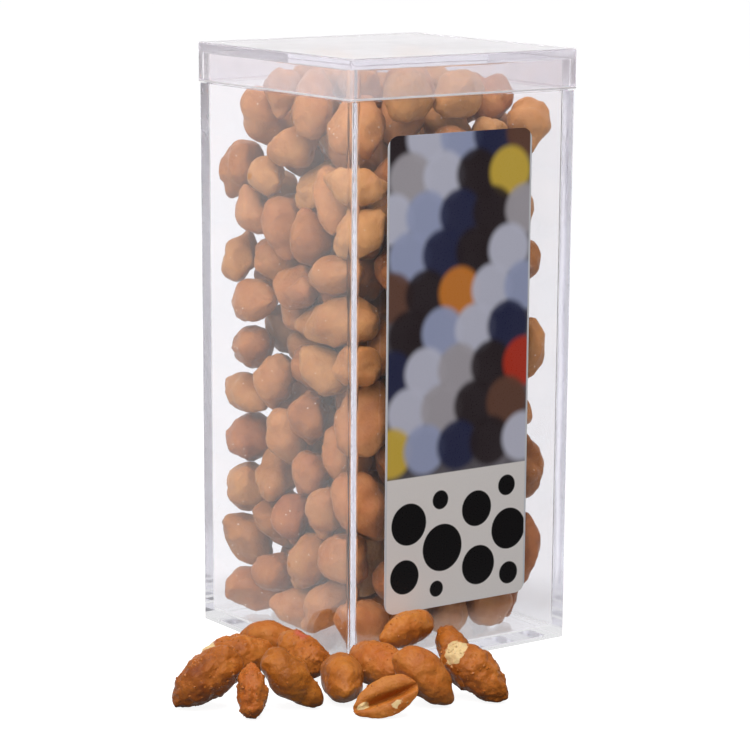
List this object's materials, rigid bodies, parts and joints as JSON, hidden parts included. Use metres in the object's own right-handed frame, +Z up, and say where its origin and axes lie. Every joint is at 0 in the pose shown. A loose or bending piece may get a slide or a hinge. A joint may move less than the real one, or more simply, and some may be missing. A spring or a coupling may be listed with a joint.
{
  "type": "clear candy bin with lift-off lid",
  "caption": "Tall square clear plastic candy bin with a lift-off lid and a front label, filled with coated peanuts, with a few more lying at its foot.",
  "frame": {"origin": "on the table, under the middle of the bin's square base", "axes": "+Z up along the bin, -Y out of the face that carries the label"},
  "size_m": [0.0988, 0.0902, 0.1259],
  "materials": {
    "clear_plastic": "clear, moulded, high gloss",
    "label_print": "printed, glossy laminate",
    "honey_glaze": "glazed, bumpy"
  },
  "bodies": {
    "bin": {"bin_body": "clear_plastic", "label": "label_print", "loose_peanut_01": "honey_glaze", "loose_peanut_02": "honey_glaze", "loose_peanut_03": "honey_glaze", "loose_peanut_04": "honey_glaze", "loose_peanut_05": "honey_glaze", "loose_peanut_06": "honey_glaze", "loose_peanut_07": "honey_glaze", "loose_peanut_08": "honey_glaze", "loose_peanut_09": "honey_glaze", "loose_peanut_10": "honey_glaze", "loose_peanut_11": "honey_glaze", "loose_peanut_12": "honey_glaze", "loose_split_peanut": "honey_glaze", "peanuts_level_01": "honey_glaze", "peanuts_level_02": "honey_glaze", "peanuts_level_03": "honey_glaze", "peanuts_level_04": "honey_glaze", "peanuts_level_05": "honey_glaze", "peanuts_level_06": "honey_glaze", "peanuts_level_07": "honey_glaze", "peanuts_level_08": "honey_glaze"},
    "lid": {"lid": "clear_plastic"}
  },
  "joints": [
    {"name": "lid_lift", "type": "slide", "parent": "bin", "child": "lid", "axis": [0, 0, 1], "range_m": [0, 0.06]}
  ]
}
